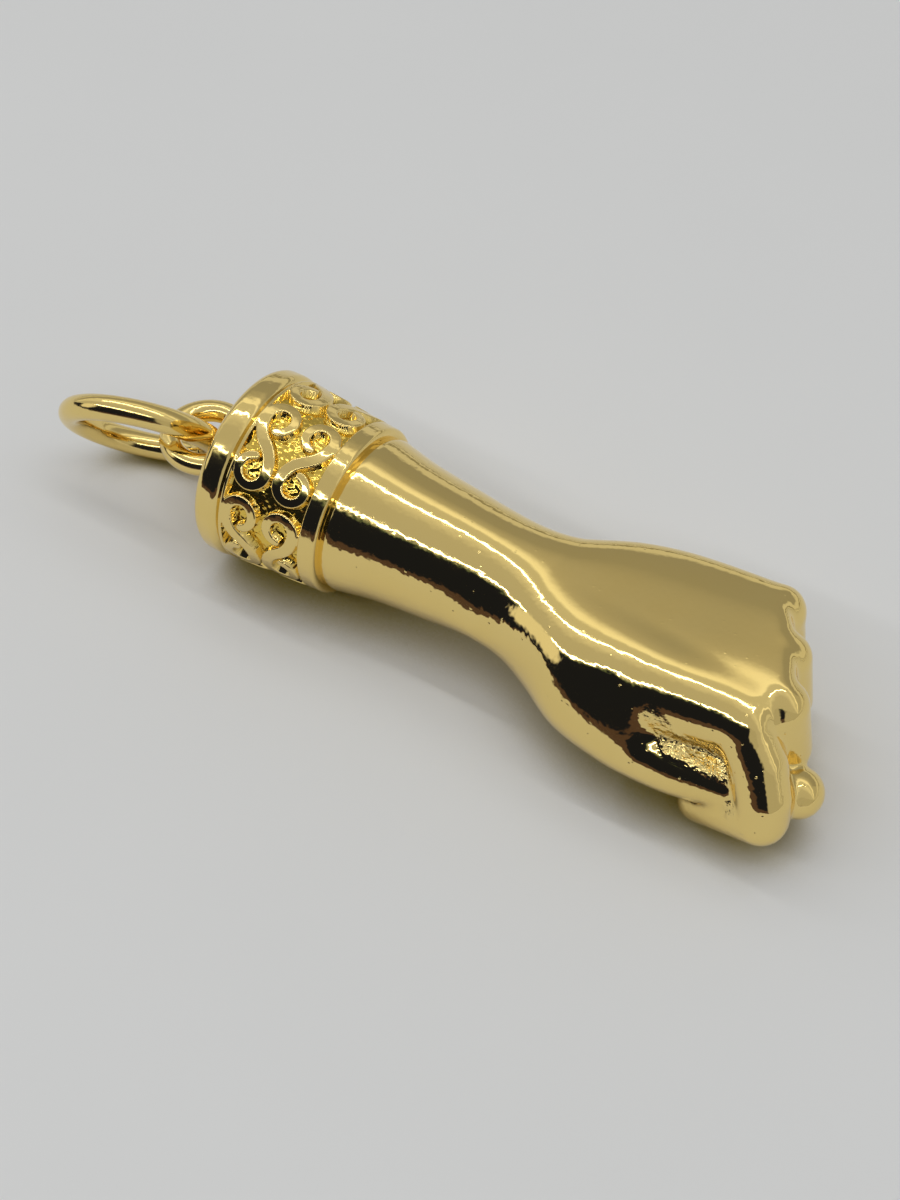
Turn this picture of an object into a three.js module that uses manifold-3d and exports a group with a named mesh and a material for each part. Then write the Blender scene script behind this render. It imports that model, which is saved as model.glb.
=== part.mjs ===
// Figa amulet: a gold plated pendant, a left fist with the thumb between the first two fingers,
// on a short forearm that ends in a scrolled cuff, a capped end, a fixed bail and a loose jump ring.
// It lies on the plane Z = 0 as on a table, back of the hand up.
// Millimetres, +Z up, +X from the bail towards the fist, thumb side towards -Y.
import * as THREE from "three";
import { mergeVertices } from "three/addons/utils/BufferGeometryUtils.js";
import Module from "manifold-3d";

const wasm = await Module();
wasm.setup();

// Fits between the pieces.
const SEAT_GAP = 0.08; // clear space between two faces that meet
const FIT_GAP = 0.06; // clear space round a peg or a tenon in its bore

// End cap: a thick disc with a rounded edge and a hollow spigot in the cuff's bore.
const CAP_RADIUS = 4.5;
const CAP_THICKNESS = 1.38;
const CAP_EDGE_ROUND = 0.48;
const SPIGOT_LENGTH = 0.9;
const SPIGOT_WALL = 0.6;
const TENON_GAP = 0.2; // end of the arm's tenon to what the cap puts in the bore

// Cuff: a tapered sleeve with a sunk field between its lip and its lower rim.
const CUFF_LENGTH = 4.92;
const CUFF_INSET = 0.08; // the cuff's edge at the cap lies this far inside the cap's rim
const CUFF_TAPER = 0.36; // lost in radius from the cap to the arm
const CUFF_WALL = 0.6; // under the field, where it is thinnest
const CUFF_EDGE_ROUND = 0.16;
const FIELD_DEPTH = 0.38;
const CAP_LIP_WIDTH = 0.14;
const LOWER_RIM_WIDTH = 0.85;

// Scrolls: curls in a ring round the field, joined in pairs as S scrolls, in two mirrored rows.
// The pitch that shows leaves one single curl at the seam under the cuff.
const SCROLL_CURLS = 11;
const SCROLL_FIRST_ANGLE = 114; // degrees from +Y over +Z, the middle of the S that faces up
const SCROLL_WIDTH = 0.46;
const SCROLL_END_WIDTH = 0.34;
const SCROLL_SINK = 0.15; // how far a scroll is rooted in the ground
const CURL_HALF_WIDTH = 0.9; // round the cuff, at the middle of the ribbon
const CURL_HALF_HEIGHT = 0.74; // along the cuff
const CURL_START = 150; // degrees, where the S leaves its curl
const CURL_SWEEP = 365; // degrees of spiral in one curl
const CURL_SHRINK = 0.72; // share of its radius that the spiral loses
const CURL_TIGHTEN = 1.3; // above 1 the spiral closes late

// Forearm and hand.
const ARM_LENGTH = 9.98; // from the cuff to the wrist
const ARM_INSET = 0.26; // the arm's shoulder lies this far inside the cuff's edge
const ARM_SHOULDER_ROUND = 0.4;
const WRIST_RADIUS = 2.62;
const WRIST_SWEEP = 0.9; // below 1 the arm thins early

// The palm's section along the hand, from the wrist: how far its middle lies off the axis, away from
// the thumb, how much wider, higher and deeper it is than the arm, and the power of its outline,
// where 2 is round.
const PALM = [
  { at: -4.0, shift: 0, wider: 0, higher: 0, deeper: 0, power: 2 },
  { at: -1.0, shift: -0.1, wider: 0.2, higher: 0, deeper: 0.1, power: 2.4 },
  { at: 2.5, shift: -0.35, wider: 0.98, higher: 0.1, deeper: 0.5, power: 3.5 },
  { at: 6.0, shift: 0, wider: 1.0, higher: 0.35, deeper: 0.9, power: 4 },
  { at: 9.5, shift: 0.5, wider: 0.98, higher: 0.66, deeper: 1.15, power: 4.2 },
];
const PALM_END = 8.4; // last whole section, before the row of knuckles
const PALM_SETBACK = 0.6; // the palm's front behind the fronts of the fingers
const PALM_EDGE_ROUND = 0.4;

// Fingers from index to little finger: thickness, then places from the wrist of the knuckle, the bend,
// the fold at the table and the end of the middle bone under the fist.
const FINGERS = [
  { radius: 1.25, joints: [[10.7, -2.5, 2.1], [11.85, -3.3, 0.5], [12.8, -4.1, -1.2], [9.6, -2.8, -3.3]] },
  { radius: 1.22, joints: [[11.3, -1.0, 1.95], [11.65, -1.0, -0.6], [11.3, -1.0, -3.4], [8.0, -0.9, -3.35]] },
  { radius: 1.16, joints: [[10.25, 1.25, 1.95], [10.57, 1.25, -0.6], [10.2, 1.25, -3.46], [6.9, 1.15, -3.4]] },
  { radius: 1.05, joints: [[9.05, 3.3, 1.85], [9.35, 3.35, -0.7], [9.0, 3.35, -3.2], [5.7, 3.2, -3.15]] },
];
const MIDDLE_TAPER = 0.1; // lost in radius along the middle bone

// Ridges of the hand, places from the wrist: towards the index knuckle, towards the little knuckle,
// the web of flesh between index finger and thumb, and the thumb from inside the arm to its neck
// behind the index finger.
const INDEX_RIDGE = [
  { place: [-4.0, -0.3, 0.0], radius: 1.6 },
  { place: [3.0, -1.95, -0.1], radius: 2.3 },
  { place: [7.0, -2.5, 0.9], radius: 1.6 },
  { place: [10.7, -2.5, 2.1], radius: 1.25 },
];
const LITTLE_RIDGE = [
  { place: [-3.0, 0.6, 0.2], radius: 1.0 },
  { place: [1.6, 2.35, 1.1], radius: 1.05 },
  { place: [3.6, 3.1, 1.5], radius: 1.05 },
  { place: [9.05, 3.3, 1.85], radius: 1.05 },
];
const WEB = [
  { place: [1.0, -1.8, -0.5], radius: 1.3 },
  { place: [6.0, -2.65, -0.5], radius: 1.45 },
  { place: [9.0, -2.8, -0.3], radius: 1.3 },
  { place: [11.5, -2.7, -0.4], radius: 1.0 },
];
const THUMB = [
  { place: [-8.0, 0.0, 0.0], radius: 1.9 },
  { place: [-2.5, -2.0, -0.25], radius: 1.15 },
  { place: [-0.6, -2.05, -0.3], radius: 1.15 },
  { place: [2.6, -2.95, -0.75], radius: 2.0 },
  { place: [5.2, -3.65, -1.05], radius: 1.95 },
  { place: [8.2, -3.75, -1.3], radius: 1.6 },
  { place: [11.0, -3.4, -1.4], radius: 1.15 },
];
const THUMB_TIP = { place: [13.3, -2.08, -1.55], radius: 1.05 }; // between index and middle finger

// Bail: a closed ring that stands on the cap's middle, held by a headed peg. Its hole takes the jump
// ring's wire with play all round.
const BAIL_WIRE = 1.05;
const BAIL_PLAY = 0.35;
const PEG_RADIUS = 0.45;
const PEG_HEAD_RADIUS = 0.95;
const PEG_HEAD_THICKNESS = 0.4;

// Jump ring: bent from wire, butted at its joint. It leans in the bail with one edge on the table.
const RING_OUTER = 8.15;
const RING_WIRE = 1.16;
const RING_SPLIT = 0.1; // open slit at the butt joint
const RING_SPLIT_ANGLE = 205; // degrees round the ring from its outer end, on the underside
const RING_YAW = 23; // degrees, swung from straight out towards the thumb side
const RING_RISE = 7.6; // degrees, outer end above its level
const RING_LEAN = -30; // degrees, from upright
const RING_SEAT = 0.05; // where its wire crosses the bail, from the bail's middle towards its outer end

// Facets.
const ROUND_FACETS = 40;
const ARM_FACETS = 32;
const LIMB_FACETS = 12;
const CAP_RINGS = 3; // rings in the round end of a limb
const WIRE_FACETS = 10;
const BAIL_STEPS = 28;
const RING_STEPS = 44;
const SCROLL_STEPS = 11; // along one curl
const TAPER_STEPS = 6; // along the forearm, and along the palm
const ROUND_STEPS = 3; // round an edge

const radians = THREE.MathUtils.degToRad;
const vec = (x, y, z) => new THREE.Vector3(x, y, z);

// Places worked out from the sizes. X = 0 is the cap's seat on the cuff.
const FLOOR = -CAP_RADIUS;
const CUFF_CAP_RADIUS = CAP_RADIUS - CUFF_INSET;
const CUFF_ARM_RADIUS = CUFF_CAP_RADIUS - CUFF_TAPER;
const CUFF_BORE_RADIUS = CUFF_ARM_RADIUS - FIELD_DEPTH - CUFF_WALL;
const PLUG_RADIUS = CUFF_BORE_RADIUS - FIT_GAP; // the cap's spigot and the arm's tenon
const ARM_START = SEAT_GAP + CUFF_LENGTH + SEAT_GAP;
const ARM_RADIUS = CUFF_ARM_RADIUS - ARM_INSET;
const TENON_START = Math.max(SPIGOT_LENGTH, SEAT_GAP + PEG_HEAD_THICKNESS) + TENON_GAP;
const WRIST_X = ARM_START + ARM_LENGTH;
const fromWrist = ([x, y, z]) => vec(WRIST_X + x, y, z);
const ringPose = poseOfRing();
const BAIL_RADIUS = (RING_WIRE / 2 + BAIL_WIRE / 2 + BAIL_PLAY) / Math.cos(ringPose.crossing);
const BAIL_X = -CAP_THICKNESS - SEAT_GAP - BAIL_WIRE / 2 - BAIL_RADIUS;

// How the jump ring lies: it leans in the bail's hole and slips round until its low edge meets the table.
function poseOfRing() {
  const radius = (RING_OUTER - RING_WIRE) / 2;
  const turn = new THREE.Euler(0, radians(RING_RISE), radians(RING_YAW), "ZYX");
  // Outward and upward directions in the ring's own plane.
  const out = vec(-1, 0, 0).applyEuler(turn);
  const up = vec(0, 0, 1).applyEuler(turn).applyAxisAngle(out, radians(RING_LEAN));
  const across = out.clone().cross(up);
  // Height of the middle that puts the low edge just clear of the table.
  const reach = radius * Math.sqrt(1 - across.z ** 2) + RING_WIRE / 2;
  const drop = FLOOR + reach + SEAT_GAP;
  const slip = Math.asin(-drop / (radius * Math.hypot(out.z, up.z))) + Math.atan2(out.z, up.z);
  // How far from upright the wire goes through the hole.
  const crossing = Math.acos(Math.sin(slip) * out.z + Math.cos(slip) * up.z);
  return { radius, out, up, across, slip, crossing };
}

// A closed geometry as a solid that can be joined and cut.
function solidOf(geometry) {
  const bare = new THREE.BufferGeometry();
  const source = geometry.index ? geometry : mergeVertices(geometry);
  bare.setAttribute("position", source.getAttribute("position"));
  bare.setIndex(source.index);
  const merged = mergeVertices(bare, 1e-5);
  return new wasm.Manifold(
    new wasm.Mesh({
      numProp: 3,
      vertProperties: new Float32Array(merged.getAttribute("position").array),
      triVerts: new Uint32Array(merged.index.array),
    }),
  );
}

function joined(solids) {
  return solids.reduce((whole, next) => whole.add(next));
}

// A solid as a named mesh in polished gold.
function goldMesh(name, solid) {
  const made = solid.getMesh();
  const geometry = new THREE.BufferGeometry();
  geometry.setAttribute("position", new THREE.BufferAttribute(made.vertProperties, 3));
  geometry.setIndex(new THREE.BufferAttribute(made.triVerts, 1));
  geometry.computeVertexNormals();
  const gold = new THREE.MeshStandardMaterial({ color: 0xd8b24a, roughness: 0.14, metalness: 1.0 });
  const mesh = new THREE.Mesh(geometry, gold);
  mesh.name = name;
  return mesh;
}

// A closed skin through rings of points that all have the same count. A closed loft has no ends.
function loft(rings, closed = false) {
  const sides = rings[0].length;
  const points = rings.flat();
  const faces = [];
  const spans = closed ? rings.length : rings.length - 1;
  for (let i = 0; i < spans; i += 1) {
    const here = i * sides;
    const next = ((i + 1) % rings.length) * sides;
    for (let j = 0; j < sides; j += 1) {
      const k = (j + 1) % sides;
      faces.push(here + j, here + k, next + k, here + j, next + k, next + j);
    }
  }
  if (!closed) {
    [rings[0], rings[rings.length - 1]].forEach((ring, end) => {
      const middle = ring.reduce((sum, p) => sum.add(p), vec(0, 0, 0)).divideScalar(sides);
      const hub = points.push(middle) - 1;
      const start = end * (rings.length - 1) * sides;
      for (let j = 0; j < sides; j += 1) {
        const k = (j + 1) % sides;
        faces.push(hub, start + (end ? j : k), start + (end ? k : j));
      }
    });
  }
  const geometry = new THREE.BufferGeometry().setFromPoints(points);
  geometry.setIndex(faces);
  return geometry;
}

// A profile of (radius, place) points turned round the arm's axis. The profile closes on itself.
function turned(profile, facets = ROUND_FACETS) {
  const outline = profile.map(([radius, along]) => new THREE.Vector2(radius, along));
  const geometry = new THREE.LatheGeometry([...outline, outline[0]], facets);
  geometry.rotateZ(-Math.PI / 2);
  const solid = solidOf(geometry);
  return solid.volume() > 0 ? solid : solidOf(flipped(geometry));
}

function flipped(geometry) {
  const order = geometry.index.array;
  for (let i = 0; i < order.length; i += 3) {
    [order[i], order[i + 1]] = [order[i + 1], order[i]];
  }
  return geometry;
}

// A quarter round from one point of a profile to another, about the given centre.
function corner(radius, along, round, fromDegrees, toDegrees) {
  const points = [];
  for (let i = 0; i <= ROUND_STEPS; i += 1) {
    const angle = radians(fromDegrees + ((toDegrees - fromDegrees) * i) / ROUND_STEPS);
    points.push([radius + round * Math.cos(angle), along + round * Math.sin(angle)]);
  }
  return points;
}

// A limb: a tapered round bone between two balls.
function limb(from, fromRadius, to, toRadius) {
  const axis = to.clone().sub(from);
  const length = axis.length();
  axis.normalize();
  const side = Math.abs(axis.y) < 0.9 ? vec(0, 1, 0) : vec(1, 0, 0);
  const u = side.clone().cross(axis).normalize();
  const v = axis.clone().cross(u);
  // The balls meet the cone where their normals lean by the taper.
  const lean = Math.asin(THREE.MathUtils.clamp((fromRadius - toRadius) / length, -0.95, 0.95));
  const rings = [];
  const addRing = (centre, radius, latitude) => {
    const ring = [];
    for (let j = 0; j < LIMB_FACETS; j += 1) {
      const angle = (2 * Math.PI * j) / LIMB_FACETS;
      const out = u.clone().multiplyScalar(Math.cos(angle)).addScaledVector(v, Math.sin(angle));
      const place = centre.clone().addScaledVector(axis, radius * Math.sin(latitude));
      ring.push(place.addScaledVector(out, radius * Math.cos(latitude)));
    }
    rings.push(ring);
  };
  const top = Math.PI / 2;
  for (let i = 1; i <= CAP_RINGS; i += 1) {
    addRing(from, fromRadius, -top + ((top + lean) * i) / CAP_RINGS);
  }
  for (let i = 0; i < CAP_RINGS; i += 1) {
    addRing(to, toRadius, lean + ((top - lean) * i) / CAP_RINGS);
  }
  const skin = solidOf(loft(rings));
  return skin.volume() > 0 ? skin : solidOf(flipped(loft(rings)));
}

// A chain of limbs through joints, each a place from the wrist and a radius.
function chain(joints) {
  const bones = [];
  for (let i = 1; i < joints.length; i += 1) {
    const [from, to] = [joints[i - 1], joints[i]];
    bones.push(limb(fromWrist(from.place), from.radius, fromWrist(to.place), to.radius));
  }
  return joined(bones);
}

// One cross-section of the arm or the palm, rounder for a power of 2 and squarer above it.
// Its place along the arm is a number, or depends on the place across.
function section({ at, wide, rise, fall, shift = 0, power = 2 }) {
  const ring = [];
  for (let j = 0; j < ARM_FACETS; j += 1) {
    const angle = (2 * Math.PI * j) / ARM_FACETS;
    const c = Math.cos(angle);
    const s = Math.sin(angle);
    const y = shift + wide * Math.sign(c) * Math.abs(c) ** (2 / power);
    const z = (s > 0 ? rise : fall) * Math.sign(s) * Math.abs(s) ** (2 / power);
    ring.push(vec(typeof at === "function" ? at(y) : at, y, z));
  }
  return ring;
}

const round = (at, radius) => section({ at, wide: radius, rise: radius, fall: radius });

// The arm's radius at a place along it.
function armRadius(x) {
  const share = THREE.MathUtils.clamp((x - ARM_START) / ARM_LENGTH, 0, 1);
  const thin = Math.sin((share * Math.PI) / 2) ** WRIST_SWEEP;
  return THREE.MathUtils.lerp(ARM_RADIUS, WRIST_RADIUS, thin);
}

// The section of the arm and the palm at a station from the wrist, set in by an edge's round. Where
// it is drawn, at, can be given apart.
function palmSection(station, at = WRIST_X + station, inset = 0) {
  const found = PALM.findIndex((row) => row.at > station);
  const next = found < 0 ? PALM.length - 1 : Math.max(found, 1);
  const from = PALM[next - 1];
  const to = PALM[next];
  const share = THREE.MathUtils.smoothstep(station, from.at, to.at);
  const value = (key) => THREE.MathUtils.lerp(from[key], to[key], share);
  const radius = armRadius(WRIST_X + station) - inset;
  return section({
    at,
    wide: radius + value("wider"),
    rise: radius + value("higher"),
    fall: radius + value("deeper"),
    shift: value("shift"),
    power: value("power"),
  });
}

// The front of the palm follows the row of fingers, at a place across the hand.
function palmFront(y) {
  const stops = FINGERS.map(({ radius, joints }) => [joints[0][1], joints[0][0] + radius - PALM_SETBACK]);
  const next = stops.findIndex(([lane]) => lane > y);
  if (next <= 0) {
    return WRIST_X + (next === 0 ? stops[0][1] : stops[stops.length - 1][1]);
  }
  const [from, to] = [stops[next - 1], stops[next]];
  return WRIST_X + THREE.MathUtils.mapLinear(y, from[0], to[0], from[1], to[1]);
}

// Tenon, rounded shoulder, tapering forearm, wrist and palm as one skin.
function armAndPalm() {
  const rings = [round(TENON_START, PLUG_RADIUS), round(ARM_START, PLUG_RADIUS)];
  for (const lift of [0, 45, 90]) {
    const inset = ARM_SHOULDER_ROUND * (1 - Math.sin(radians(lift)));
    const along = ARM_SHOULDER_ROUND * (1 - Math.cos(radians(lift)));
    rings.push(round(ARM_START + along, ARM_RADIUS - inset));
  }
  for (let i = 1; i <= TAPER_STEPS; i += 1) {
    rings.push(palmSection(((ARM_SHOULDER_ROUND - ARM_LENGTH) * (TAPER_STEPS - i)) / TAPER_STEPS));
  }
  for (let i = 1; i <= TAPER_STEPS; i += 1) {
    rings.push(palmSection((PALM_END * i) / TAPER_STEPS));
  }
  const end = PALM[PALM.length - 1].at;
  rings.push(palmSection(end, (y) => palmFront(y) - PALM_EDGE_ROUND));
  rings.push(palmSection(end, palmFront, PALM_EDGE_ROUND));
  const skin = loft(rings);
  const solid = solidOf(skin);
  return solid.volume() > 0 ? solid : solidOf(flipped(skin));
}

// One curled finger: knuckle, down the front, folded back under the palm.
function finger({ radius, joints }) {
  const last = joints.length - 1;
  return chain(joints.map((place, i) => ({ place, radius: i === last ? radius - MIDDLE_TAPER : radius })));
}

// A casting is solid, so a pocket that the joined forms close in between them is filled.
function filled(solid) {
  return solid.decompose().reduce((skin, next) => (next.volume() > skin.volume() ? next : skin));
}

function makeHand() {
  const ridges = [INDEX_RIDGE, LITTLE_RIDGE, WEB, [...THUMB, THUMB_TIP]];
  const whole = joined([armAndPalm(), ...ridges.map(chain), ...FINGERS.map(finger)]);
  // The curled fingers are flat where the fist lies on the table.
  const span = 2 * WRIST_X;
  const table = new THREE.BoxGeometry(2 * span, 2 * span, span);
  table.translate(0, 0, FLOOR - span / 2);
  return goldMesh("hand", filled(whole.subtract(solidOf(table))));
}

// Radius of the cuff's envelope, which its rims and its scrolls share.
function envelope(along) {
  const share = (along - SEAT_GAP) / CUFF_LENGTH;
  return THREE.MathUtils.lerp(CUFF_CAP_RADIUS, CUFF_ARM_RADIUS, share);
}

// Middle line of half an S scroll, from its middle out to the end of its curl.
// X runs round the cuff in millimetres and Y along it.
function halfScroll(pitch) {
  const points = [new THREE.Vector2(0, 0)];
  for (let i = 0; i <= SCROLL_STEPS; i += 1) {
    const t = i / SCROLL_STEPS;
    const angle = radians(CURL_START - CURL_SWEEP * t);
    const size = 1 - CURL_SHRINK * t ** CURL_TIGHTEN;
    points.push(
      new THREE.Vector2(
        pitch / 2 + CURL_HALF_WIDTH * size * Math.cos(angle),
        CURL_HALF_HEIGHT * size * Math.sin(angle),
      ),
    );
  }
  return points;
}

// A raised ribbon along a middle line, wrapped on the cuff at an angle and a place along it.
function ribbon(line, angle, along, mirrored) {
  const rings = line.map((point, i) => {
    const before = line[Math.max(i - 1, 0)];
    const after = line[Math.min(i + 1, line.length - 1)];
    const ahead = after.clone().sub(before).normalize();
    const fromEnd = Math.abs((2 * i) / (line.length - 1) - 1);
    const half = THREE.MathUtils.lerp(SCROLL_WIDTH, SCROLL_END_WIDTH, fromEnd ** 3) / 2;
    const edge = (side, top) => {
      const across = point.x - ahead.y * half * side;
      const place = along + (mirrored ? -1 : 1) * (point.y + ahead.x * half * side);
      const outer = envelope(place);
      const radius = top ? outer : outer - FIELD_DEPTH - SCROLL_SINK;
      const turn = angle + across / CUFF_CAP_RADIUS;
      return vec(place, radius * Math.cos(turn), radius * Math.sin(turn));
    };
    return [edge(-1, false), edge(1, false), edge(1, true), edge(-1, true)];
  });
  const skin = loft(rings);
  const solid = solidOf(skin);
  return solid.volume() > 0 ? solid : solidOf(flipped(skin));
}

function makeCuff() {
  const start = SEAT_GAP;
  const end = start + CUFF_LENGTH;
  const fieldStart = start + CAP_LIP_WIDTH;
  const fieldEnd = end - LOWER_RIM_WIDTH;
  const edge = CUFF_EDGE_ROUND;
  const sleeve = turned([
    [CUFF_BORE_RADIUS, start],
    [envelope(start), start],
    [envelope(fieldStart), fieldStart],
    [envelope(fieldStart) - FIELD_DEPTH, fieldStart],
    [envelope(fieldEnd) - FIELD_DEPTH, fieldEnd],
    ...corner(envelope(fieldEnd) - edge, fieldEnd + edge, edge, -90, 0),
    ...corner(envelope(end) - edge, end - edge, edge, 0, 90),
    [CUFF_BORE_RADIUS, end],
  ]);
  const pitchAngle = (2 * Math.PI) / SCROLL_CURLS;
  const half = halfScroll(pitchAngle * CUFF_CAP_RADIUS);
  const mirrorHalf = half.slice(1).map((point) => point.clone().negate());
  const whole = [...mirrorHalf.reverse(), ...half];
  const rowHeight = (fieldEnd - fieldStart) / 2;
  const pairs = Math.floor(SCROLL_CURLS / 2);
  const singles = SCROLL_CURLS % 2;
  const scrolls = [];
  for (const row of [0, 1]) {
    const along = fieldStart + rowHeight * (row + 0.5);
    for (let i = 0; i < pairs; i += 1) {
      const steps = 2 * (i - Math.floor(pairs / 2));
      scrolls.push(ribbon(whole, radians(SCROLL_FIRST_ANGLE) + steps * pitchAngle, along, row === 1));
    }
    if (singles) {
      const steps = 2 * Math.ceil(pairs / 2) - 0.5;
      scrolls.push(ribbon(half, radians(SCROLL_FIRST_ANGLE) + steps * pitchAngle, along, row === 1));
    }
  }
  return goldMesh("cuff", joined([sleeve, ...scrolls]));
}

function makeEndCap() {
  const hole = PEG_RADIUS + FIT_GAP;
  const edge = CAP_RADIUS - CAP_EDGE_ROUND;
  const cap = turned([
    [hole, -CAP_THICKNESS],
    ...corner(edge, CAP_EDGE_ROUND - CAP_THICKNESS, CAP_EDGE_ROUND, -90, 0),
    ...corner(edge, -CAP_EDGE_ROUND, CAP_EDGE_ROUND, 0, 90),
    [PLUG_RADIUS, 0],
    [PLUG_RADIUS, SPIGOT_LENGTH],
    [PLUG_RADIUS - SPIGOT_WALL, SPIGOT_LENGTH],
    [PLUG_RADIUS - SPIGOT_WALL, 0],
    [hole, 0],
  ]);
  return goldMesh("end_cap", cap);
}

// A round wire bent along part of a circle in the XY plane.
function wireArc(radius, wire, fromDegrees, toDegrees, steps) {
  const whole = toDegrees - fromDegrees >= 360;
  const rings = [];
  const count = whole ? steps : steps + 1;
  for (let i = 0; i < count; i += 1) {
    const angle = radians(fromDegrees + ((toDegrees - fromDegrees) * i) / steps);
    const ring = [];
    for (let j = 0; j < WIRE_FACETS; j += 1) {
      const turn = (2 * Math.PI * j) / WIRE_FACETS;
      const out = radius + (wire / 2) * Math.cos(turn);
      ring.push(vec(out * Math.cos(angle), out * Math.sin(angle), (wire / 2) * Math.sin(turn)));
    }
    rings.push(ring);
  }
  const skin = loft(rings, whole);
  const solid = solidOf(skin);
  return solid.volume() > 0 ? solid : solidOf(flipped(skin));
}

function makeBail() {
  const loop = wireArc(BAIL_RADIUS, BAIL_WIRE, 0, 360, BAIL_STEPS);
  const root = BAIL_RADIUS;
  const headStart = -BAIL_X + SEAT_GAP;
  const peg = turned(
    [
      [0, root],
      [PEG_RADIUS, root],
      [PEG_RADIUS, headStart],
      [PEG_HEAD_RADIUS, headStart],
      [PEG_HEAD_RADIUS, headStart + PEG_HEAD_THICKNESS],
      [0, headStart + PEG_HEAD_THICKNESS],
    ],
    LIMB_FACETS,
  );
  const bail = goldMesh("bail", loop.add(peg));
  bail.position.x = BAIL_X;
  return bail;
}

// The jump ring crosses the bail's hole near its middle.
function makeJumpRing() {
  const { radius, out, up, across, slip } = ringPose;
  const slit = THREE.MathUtils.radToDeg(RING_SPLIT / radius);
  const wire = wireArc(radius, RING_WIRE, RING_SPLIT_ANGLE + slit, RING_SPLIT_ANGLE + 360, RING_STEPS);
  const ring = goldMesh("jump_ring", wire);
  ring.setRotationFromMatrix(new THREE.Matrix4().makeBasis(out, up, across));
  ring.position.set(BAIL_X - RING_SEAT, 0, 0);
  ring.position.addScaledVector(out, radius * Math.cos(slip));
  ring.position.addScaledVector(up, -radius * Math.sin(slip));
  return ring;
}

// The pendant, set down so that its box stands on the origin.
const figa = new THREE.Group();
figa.add(makeHand(), makeCuff(), makeEndCap(), makeBail(), makeJumpRing());
const bounds = new THREE.Box3().setFromObject(figa, true);
const middle = bounds.getCenter(vec(0, 0, 0));
figa.position.set(-middle.x, -middle.y, -FLOOR);

export default figa;
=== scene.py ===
# Figa amulet: a mirror polished, gold plated fist pendant with a scrolled cuff, a bail and a jump ring.
# Pieces are shaped in millimetres about the cap's seat on the cuff, with the arm along X, and are
# then set down in the frame, in metres.
import math

import bpy
import numpy as np
from mathutils import Matrix, Vector, kdtree, noise


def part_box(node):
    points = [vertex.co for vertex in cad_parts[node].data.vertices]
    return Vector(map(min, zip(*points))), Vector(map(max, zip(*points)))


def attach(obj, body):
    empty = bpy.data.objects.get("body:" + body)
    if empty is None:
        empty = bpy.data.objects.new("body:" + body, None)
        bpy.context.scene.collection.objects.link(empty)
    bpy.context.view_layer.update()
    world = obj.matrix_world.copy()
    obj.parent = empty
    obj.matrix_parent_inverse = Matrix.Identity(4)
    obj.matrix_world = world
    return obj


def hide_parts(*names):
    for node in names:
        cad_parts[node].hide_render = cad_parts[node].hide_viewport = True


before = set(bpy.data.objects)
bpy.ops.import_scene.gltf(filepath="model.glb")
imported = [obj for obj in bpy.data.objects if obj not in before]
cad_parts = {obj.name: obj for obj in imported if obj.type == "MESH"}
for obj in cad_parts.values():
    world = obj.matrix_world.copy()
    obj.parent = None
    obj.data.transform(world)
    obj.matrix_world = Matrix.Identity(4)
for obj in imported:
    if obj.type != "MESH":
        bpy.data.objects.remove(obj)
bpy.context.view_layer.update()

MM = 0.001

# Sizes in millimetres. Most are those of the solids.
SEAT_GAP = 0.08
CAP_RADIUS = 4.5
CAP_THICKNESS = 1.38
CAP_EDGE_ROUND = 0.48
PEG_RADIUS = 0.45
PEG_HOLE_RADIUS = 0.51
PEG_HEAD_RADIUS = 0.95
PEG_HEAD_THICKNESS = 0.4
CUFF_LENGTH = 4.92
CUFF_CAP_RADIUS = 4.42
CUFF_ARM_RADIUS = 4.06
CUFF_BORE_RADIUS = 3.08
FIELD_DEPTH = 0.38
CAP_LIP_WIDTH = 0.14
LOWER_RIM_WIDTH = 0.85
SCROLL_CURLS = 11
SCROLL_FIRST_ANGLE = 114
ARM_START = 5.08
ARM_LENGTH = 9.98
ARM_RADIUS = 3.8
WRIST_RADIUS = 2.62
# The arm's radius by the distance from its start.
ARM_TAPER = [(0.0, ARM_RADIUS), (2.0, 3.42), (5.0, 3.12), (7.5, 2.86), (ARM_LENGTH, WRIST_RADIUS)]
TENON_START = 1.1
TENON_RADIUS = 3.02
TENON_OVERLAP = 1.0  # of the tenon inside the arm
WRIST_X = ARM_START + ARM_LENGTH
NECK_START = ARM_START - SEAT_GAP  # at the cuff's edge
SKIN_OVERLAP = 0.3  # of the arm's skin inside the cuff
SHOULDER_START = NECK_START - SKIN_OVERLAP
SHOULDER_ROUND = 0.12
NECK_DEPTH = 0.14
NECK_LENGTH = 0.42
FLOOR_Z = -CAP_RADIUS
BAIL_WIRE = 1.05
RING_WIRE = 1.24
RING_OUTER = 8.15

# Where the cap's seat lies in the frame.
cuff_low, cuff_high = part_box("cuff")
SEAT = Vector((cuff_low.x - SEAT_GAP * MM, (cuff_low.y + cuff_high.y) / 2, (cuff_low.z + cuff_high.z) / 2))
INTO_FRAME = Matrix.Translation(SEAT) @ Matrix.Scale(MM, 4)


# Small helpers for modelling by operators.

ALONG_X = (0, math.pi / 2, 0)
MERGE_DISTANCE = 0.0005


def only(*objects):
    """Selects these objects and nothing else, the first one active."""
    bpy.ops.object.select_all(action="DESELECT")
    for piece in objects:
        piece.select_set(True)
    bpy.context.view_layer.objects.active = objects[0]


def added(name):
    """The primitive that was just added, under its own name."""
    piece = bpy.context.object
    piece.name = name
    piece.data.name = name
    return piece


def settled(piece):
    """Applies the object's own place, turn and scale to its mesh."""
    only(piece)
    bpy.ops.object.transform_apply(location=True, rotation=True, scale=True)
    return piece


def modified(piece, kind, **settings):
    """Adds a modifier, sets it and applies it."""
    only(piece)
    modifier = piece.modifiers.new(kind.lower(), kind)
    for key, value in settings.items():
        setattr(modifier, key, value)
    bpy.ops.object.modifier_apply(modifier=modifier.name)
    return piece


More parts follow.
